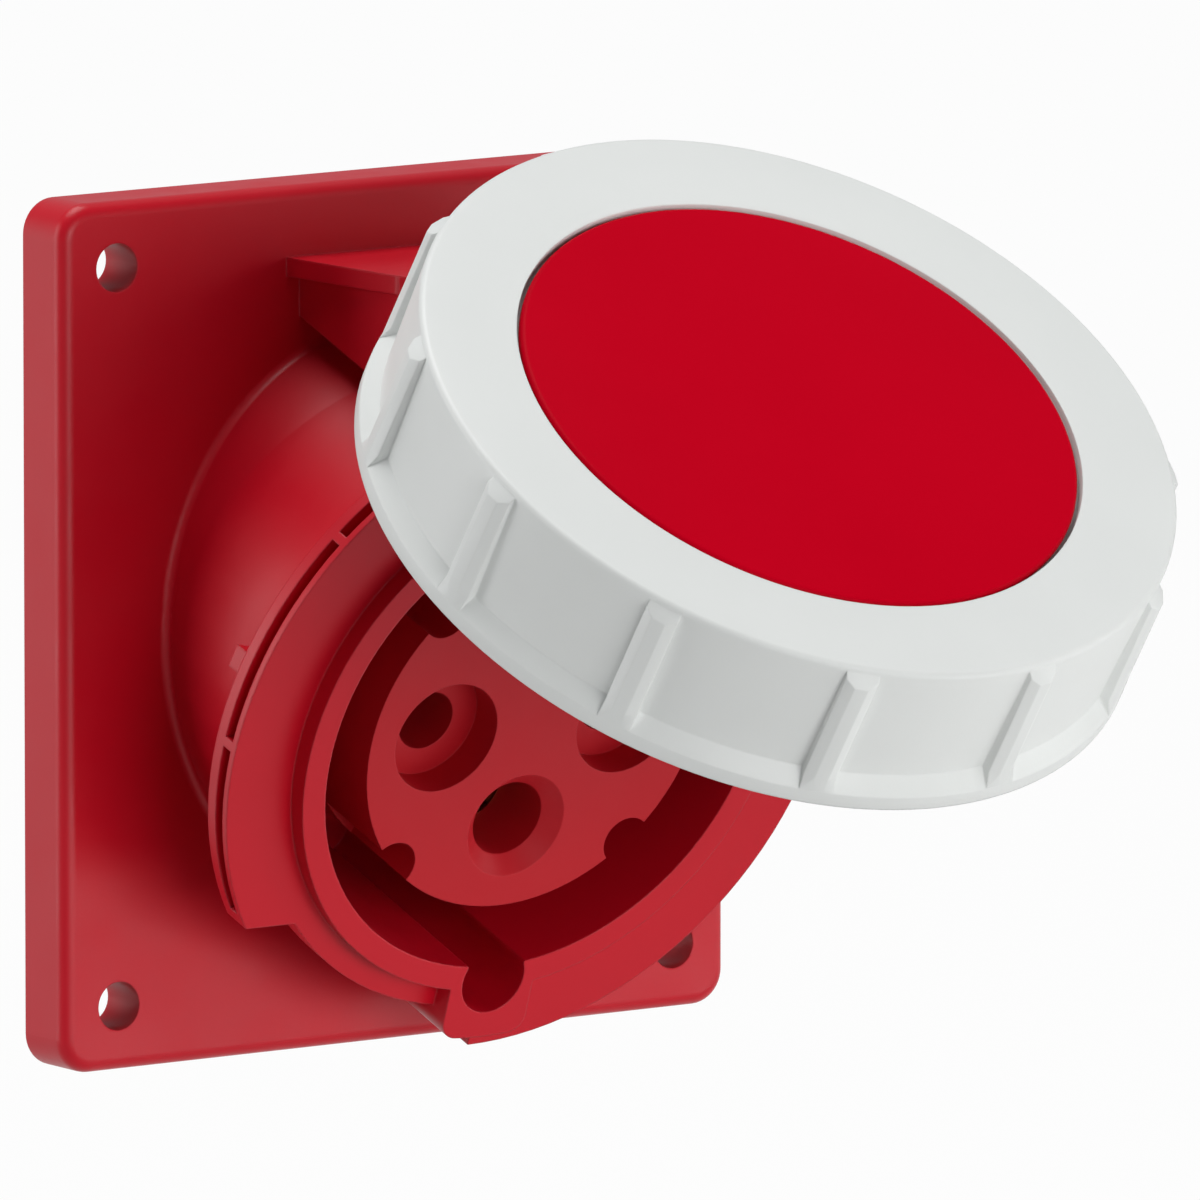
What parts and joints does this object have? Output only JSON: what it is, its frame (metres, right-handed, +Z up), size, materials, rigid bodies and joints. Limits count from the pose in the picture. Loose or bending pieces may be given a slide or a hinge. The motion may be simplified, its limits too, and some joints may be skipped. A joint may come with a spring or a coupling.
{
  "type": "industrial panel socket",
  "caption": "Sloping panel socket for an industrial round-pin plug, with a hinged watertight lid and a bayonet locking ring, shown open.",
  "frame": {"origin": "centre of the flange's rear face, between its four screw holes", "axes": "+Y goes into the panel, the socket looks along -Y and 20 degrees down; +Z up; +X to the right seen from the front"},
  "size_m": [0.0926, 0.158, 0.1088],
  "materials": {
    "red_shell": "satin moulded polyamide, signal red",
    "red_carrier": "fine matt moulded polyamide, red",
    "red_disc": "satin moulded plastic, bright red",
    "grey_ring": "satin moulded plastic, pale grey",
    "grey_terminal": "matt moulded polyamide, dark grey",
    "black_rubber": "soft matt",
    "contact_brass": "turned",
    "steel": "zinc plated"
  },
  "bodies": {
    "base": {"housing": "red_shell", "flange_gasket": "black_rubber", "contact_carrier": "red_carrier", "carrier_gasket": "black_rubber", "terminal_block": "grey_terminal", "carrier_screws": "steel", "phase_sleeve_1": "contact_brass", "phase_sleeve_2": "contact_brass", "phase_sleeve_3": "contact_brass", "earth_sleeve": "contact_brass", "phase_spring_bands": "steel", "earth_spring_band": "steel", "phase_terminal_screws": "steel", "earth_terminal_screw": "steel", "phase_wire_pads": "steel", "earth_wire_pad": "steel", "hinge_pin": "steel"},
    "lid": {"lid_cap": "grey_ring", "lid_disc": "red_disc", "lid_seal": "black_rubber"},
    "ring": {"locking_ring": "grey_ring"}
  },
  "joints": [
    {"name": "lid_hinge", "type": "hinge", "parent": "base", "child": "lid", "pos_m": [0, -0.0363, 0.03769], "axis": [-1, 0, 0], "range_deg": [-74.75, 40]},
    {"name": "ring_turn", "type": "hinge", "parent": "lid", "child": "ring", "pos_m": [0, -0.08831, 0.03314], "axis": [0, -0.5771, 0.8166], "range_deg": [-50, 0]}
  ]
}
